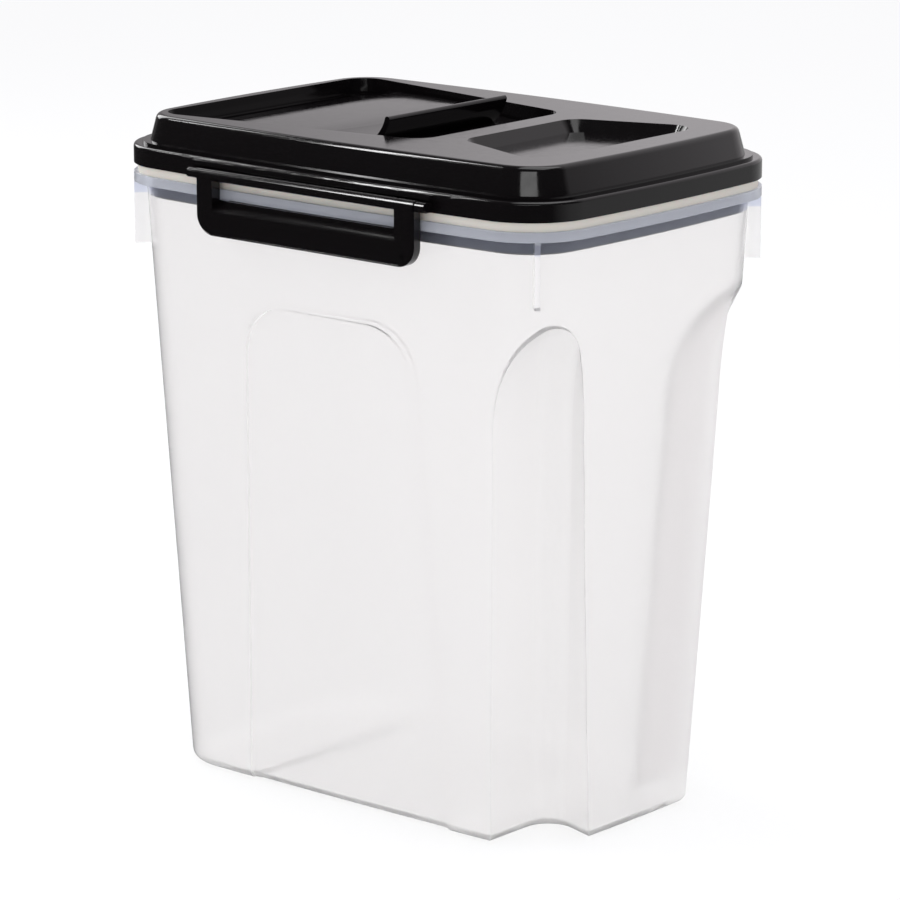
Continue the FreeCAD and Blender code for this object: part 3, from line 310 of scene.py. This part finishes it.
azimuth = math.radians(40.56)
elevation = math.radians(13.57)
away = Vector((-0.25, 0.95, 0.2)).normalized()
sideways_axis = (math.cos(azimuth), math.sin(azimuth), 0.0)
white_through_tub = 1.13

world = bpy.data.worlds.new("studio")
bpy.context.scene.world = world
world.use_nodes = True
world.node_tree.nodes.clear()
room = add_node(world, "ShaderNodeBackground", {"Color": linear("f0f0f8"), "Strength": 1.0})
dark = add_node(world, "ShaderNodeBackground", {"Color": linear("ffffff"), "Strength": 0.05})
direction = add_node(world, "ShaderNodeTexCoord")
toward = add_node(world, "ShaderNodeVectorMath", {"operation": "DOT_PRODUCT", 1: away},
                  {0: direction.outputs["Generated"]})
lobe = add_node(world, "ShaderNodeMapRange", {"From Min": 0.3, "From Max": 0.75},
                {"Value": toward.outputs["Value"]})
sideways = add_node(world, "ShaderNodeVectorMath",
                    {"operation": "DOT_PRODUCT", 1: sideways_axis},
                    {0: direction.outputs["Generated"]})
falloff = add_node(world, "ShaderNodeMapRange",
                   {"From Min": -0.09, "From Max": 0.05, "To Min": 0.35, "To Max": 0.85},
                   {"Value": sideways.outputs["Value"]})
backdrop = add_node(world, "ShaderNodeBackground", {"Color": linear("fffafd")},
                    {"Strength": falloff.outputs["Result"]})
mirror = add_node(world, "ShaderNodeMixShader", {},
                  {"Fac": lobe.outputs["Result"], 1: dark.outputs[0], 2: backdrop.outputs[0]})
path = add_node(world, "ShaderNodeLightPath")
glossy = add_node(world, "ShaderNodeMixShader", {},
                  {"Fac": path.outputs["Is Glossy Ray"], 1: room.outputs[0],
                   2: mirror.outputs[0]})
either = add_node(world, "ShaderNodeMath", {"operation": "MAXIMUM"},
                  {0: path.outputs["Is Camera Ray"], 1: path.outputs["Is Transmission Ray"]})
seen_through = add_node(world, "ShaderNodeMapRange",
                        {"To Min": 1.0, "To Max": white_through_tub},
                        {"Value": path.outputs["Is Transmission Ray"]})
white = add_node(world, "ShaderNodeBackground", {"Color": linear("ffffff")},
                 {"Strength": seen_through.outputs["Result"]})
mix = add_node(world, "ShaderNodeMixShader", {},
               {"Fac": either.outputs[0], 1: glossy.outputs[0], 2: white.outputs[0]})
add_node(world, "ShaderNodeOutputWorld", links={"Surface": mix.outputs[0]})


def softbox(name, place, aim, width, height, power):
    """A rectangular studio lamp that points at a place."""
    lamp = bpy.data.lights.new(name, "AREA")
    lamp.shape = "RECTANGLE"
    lamp.size = width
    lamp.size_y = height
    lamp.energy = power
    holder = bpy.data.objects.new(name, lamp)
    bpy.context.collection.objects.link(holder)
    holder.location = place
    holder.rotation_euler = (Vector(aim) - Vector(place)).to_track_quat("-Z", "Y").to_euler()
    return holder


middle = (cad_low + cad_high) / 2
softbox("top_softbox", (0.3, 0.1, 1.6), middle, 1.2, 1.2, 10.0)
softbox("left_softbox", (-1.7, 0.3, 1.1), middle, 0.8, 1.2, 12.0)


lid_middle = Vector((0, 0, 0.326))
strip_distance = 1.5


def strip_light(name, source, along, width, length, glow):
    """A narrow lamp, facing the lid, that draws a bright line on its rounded edges."""
    ray_in = Vector(source).normalized()
    across = Vector(along).cross(ray_in).normalized()
    upward = ray_in.cross(across)
    holder = softbox(name, lid_middle + ray_in * strip_distance, lid_middle, width, length,
                     glow * math.pi * width * length)
    holder.rotation_euler = Matrix((across, upward, ray_in)).transposed().to_euler()


edge_arc = (0.1, 0.69, 0.71)
strip_light("edge_strip_right", (-0.60, -0.50, 0.62), edge_arc, 0.10, 0.8, 24.0)
strip_light("edge_strip_left", (-0.735, -0.30, 0.60), edge_arc, 0.05, 0.5, 16.0)
strip_light("corner_window", (0.56, -0.75, 0.32), (0.0, 0.0, 1.0), 0.9, 0.17, 3.0)


# Camera: a long lens a little above the bin, on its near grip corner.

aim_height, aim_right, aim_up = 0.1524, 0.00248, 0.01054
distance = 2.12058
back = Vector((math.sin(azimuth) * math.cos(elevation), -math.cos(azimuth) * math.cos(elevation),
               math.sin(elevation)))
camera_data = bpy.data.cameras.new("camera")
camera_data.sensor_width = 36.0
camera_data.lens = 174.17
camera = bpy.data.objects.new("camera", camera_data)
bpy.context.collection.objects.link(camera)
facing = (-back).to_track_quat("-Z", "Y")
right = facing @ Vector((1, 0, 0))
up = facing @ Vector((0, 1, 0))
aim_point = Vector((0, 0, aim_height)) + right * aim_right + up * aim_up
camera.location = aim_point + back * distance
camera.rotation_mode = "QUATERNION"
camera.rotation_quaternion = facing
camera_data.clip_end = 20.0
bpy.context.scene.camera = camera
bpy.context.scene.view_settings.view_transform = "Standard"
